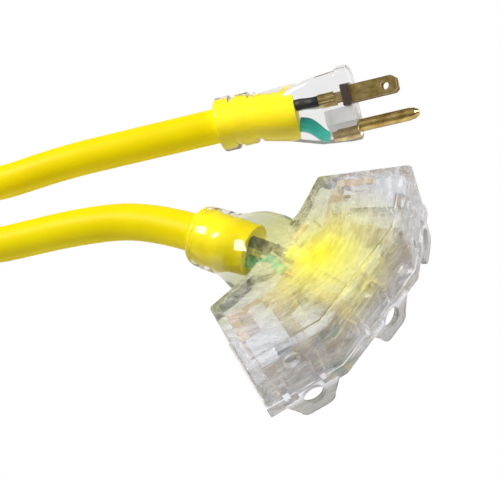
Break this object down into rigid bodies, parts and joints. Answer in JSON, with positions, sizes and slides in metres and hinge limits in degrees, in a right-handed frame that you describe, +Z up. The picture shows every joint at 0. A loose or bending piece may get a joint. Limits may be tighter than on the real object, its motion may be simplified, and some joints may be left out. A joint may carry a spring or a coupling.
{
  "type": "extension cord",
  "caption": "Heavy round extension cord with a clear fan-shaped multi-outlet tap, a power lamp inside it, mounting ears, and a clear moulded plug with a ground pin.",
  "frame": {"origin": "bottom centre of the tap's box, without the free cord and its plug", "axes": "+X along the tap's widest side, to the right of its outlets' sight line seen from the neck; -Y is the way the middle outlet faces; +Z up, away from the ears"},
  "size_m": [0.1736, 0.4313, 0.0829],
  "materials": {
    "clear_pvc": "clear, glossy",
    "insert_plastic": "clear, slightly cloudy",
    "nickel": "bright nickel plate",
    "brass": "bright",
    "black_wire": "satin",
    "white_wire": "satin",
    "green_wire": "satin",
    "copper": "bare copper",
    "lamp_glass": "glowing yellow",
    "resistor": "satin",
    "dark_insert": "satin",
    "tie": "woven",
    "jacket": "smooth satin"
  },
  "bodies": {
    "cord_set": {"tap_body": "clear_pvc", "outlet_core_left": "insert_plastic", "outlet_core_middle": "insert_plastic", "outlet_core_right": "insert_plastic", "line_bus": "brass", "neutral_bus": "brass", "ground_bus": "brass", "ground_clip_left": "nickel", "ground_clip_middle": "nickel", "ground_clip_right": "nickel", "lamp": "lamp_glass", "lamp_leads": "nickel", "lamp_resistor": "resistor", "tap_black_wire": "black_wire", "tap_white_wire": "white_wire", "tap_green_wire": "green_wire", "tap_copper_ends": "copper", "tap_jacket_end": "jacket", "plug_body": "clear_pvc", "plug_insert": "insert_plastic", "plug_blade_carrier": "dark_insert", "line_blade": "brass", "neutral_blade": "brass", "ground_pin": "brass", "plug_black_wire": "black_wire", "plug_white_wire": "white_wire", "plug_green_wire": "green_wire", "plug_jacket_end": "jacket", "cord_from_tap": "jacket", "cord_coil": "jacket", "cord_to_plug": "jacket", "coil_tie_a": "tie", "coil_tie_b": "tie"},
    "leaf_line_left": {"leaf_line_left": "brass"},
    "leaf_neutral_left": {"leaf_neutral_left": "brass"},
    "leaf_ground_left": {"leaf_ground_left": "nickel"},
    "leaf_line_middle": {"leaf_line_middle": "brass"},
    "leaf_neutral_middle": {"leaf_neutral_middle": "brass"},
    "leaf_ground_middle": {"leaf_ground_middle": "nickel"},
    "leaf_line_right": {"leaf_line_right": "brass"},
    "leaf_neutral_right": {"leaf_neutral_right": "brass"},
    "leaf_ground_right": {"leaf_ground_right": "nickel"}
  },
  "joints": [
    {"name": "leaf_line_left_opens", "type": "hinge", "parent": "cord_set", "child": "leaf_line_left", "pos_m": [-0.02874, -0.01146, 0.01605], "axis": [0, 0, 1], "range_deg": [0, 4], "stiffness_Nm_per_rad": 0.4},
    {"name": "leaf_neutral_left_opens", "type": "hinge", "parent": "cord_set", "child": "leaf_neutral_left", "pos_m": [-0.01971, -0.01598, 0.01605], "axis": [0, 0, -1], "range_deg": [0, 4], "stiffness_Nm_per_rad": 0.4},
    {"name": "leaf_ground_left_opens", "type": "hinge", "parent": "cord_set", "child": "leaf_ground_left", "pos_m": [-0.02423, -0.01372, 0.02555], "axis": [0.8944, -0.4473, 0], "range_deg": [0, 4], "stiffness_Nm_per_rad": 0.4},
    {"name": "leaf_line_middle_opens", "type": "hinge", "parent": "cord_set", "child": "leaf_line_middle", "pos_m": [-0.00505, -0.01791, 0.01605], "axis": [0, 0, 1], "range_deg": [0, 4], "stiffness_Nm_per_rad": 0.4},
    {"name": "leaf_neutral_middle_opens", "type": "hinge", "parent": "cord_set", "child": "leaf_neutral_middle", "pos_m": [0.00505, -0.01791, 0.01605], "axis": [0, 0, -1], "range_deg": [0, 4], "stiffness_Nm_per_rad": 0.4},
    {"name": "leaf_ground_middle_opens", "type": "hinge", "parent": "cord_set", "child": "leaf_ground_middle", "pos_m": [0, -0.01791, 0.02555], "axis": [1, 0, 0], "range_deg": [0, 4], "stiffness_Nm_per_rad": 0.4},
    {"name": "leaf_line_right_opens", "type": "hinge", "parent": "cord_set", "child": "leaf_line_right", "pos_m": [0.01971, -0.01598, 0.01605], "axis": [0, 0, 1], "range_deg": [0, 4], "stiffness_Nm_per_rad": 0.4},
    {"name": "leaf_neutral_right_opens", "type": "hinge", "parent": "cord_set", "child": "leaf_neutral_right", "pos_m": [0.02874, -0.01146, 0.01605], "axis": [0, 0, -1], "range_deg": [0, 4], "stiffness_Nm_per_rad": 0.4},
    {"name": "leaf_ground_right_opens", "type": "hinge", "parent": "cord_set", "child": "leaf_ground_right", "pos_m": [0.02423, -0.01372, 0.02555], "axis": [0.8944, 0.4473, 0], "range_deg": [0, 4], "stiffness_Nm_per_rad": 0.4}
  ],
  "couplings": [
    {"joint": "leaf_neutral_left_opens", "follows": "leaf_line_left_opens", "ratio": 1},
    {"joint": "leaf_ground_left_opens", "follows": "leaf_line_left_opens", "ratio": 1},
    {"joint": "leaf_neutral_middle_opens", "follows": "leaf_line_middle_opens", "ratio": 1},
    {"joint": "leaf_ground_middle_opens", "follows": "leaf_line_middle_opens", "ratio": 1},
    {"joint": "leaf_neutral_right_opens", "follows": "leaf_line_right_opens", "ratio": 1},
    {"joint": "leaf_ground_right_opens", "follows": "leaf_line_right_opens", "ratio": 1}
  ]
}
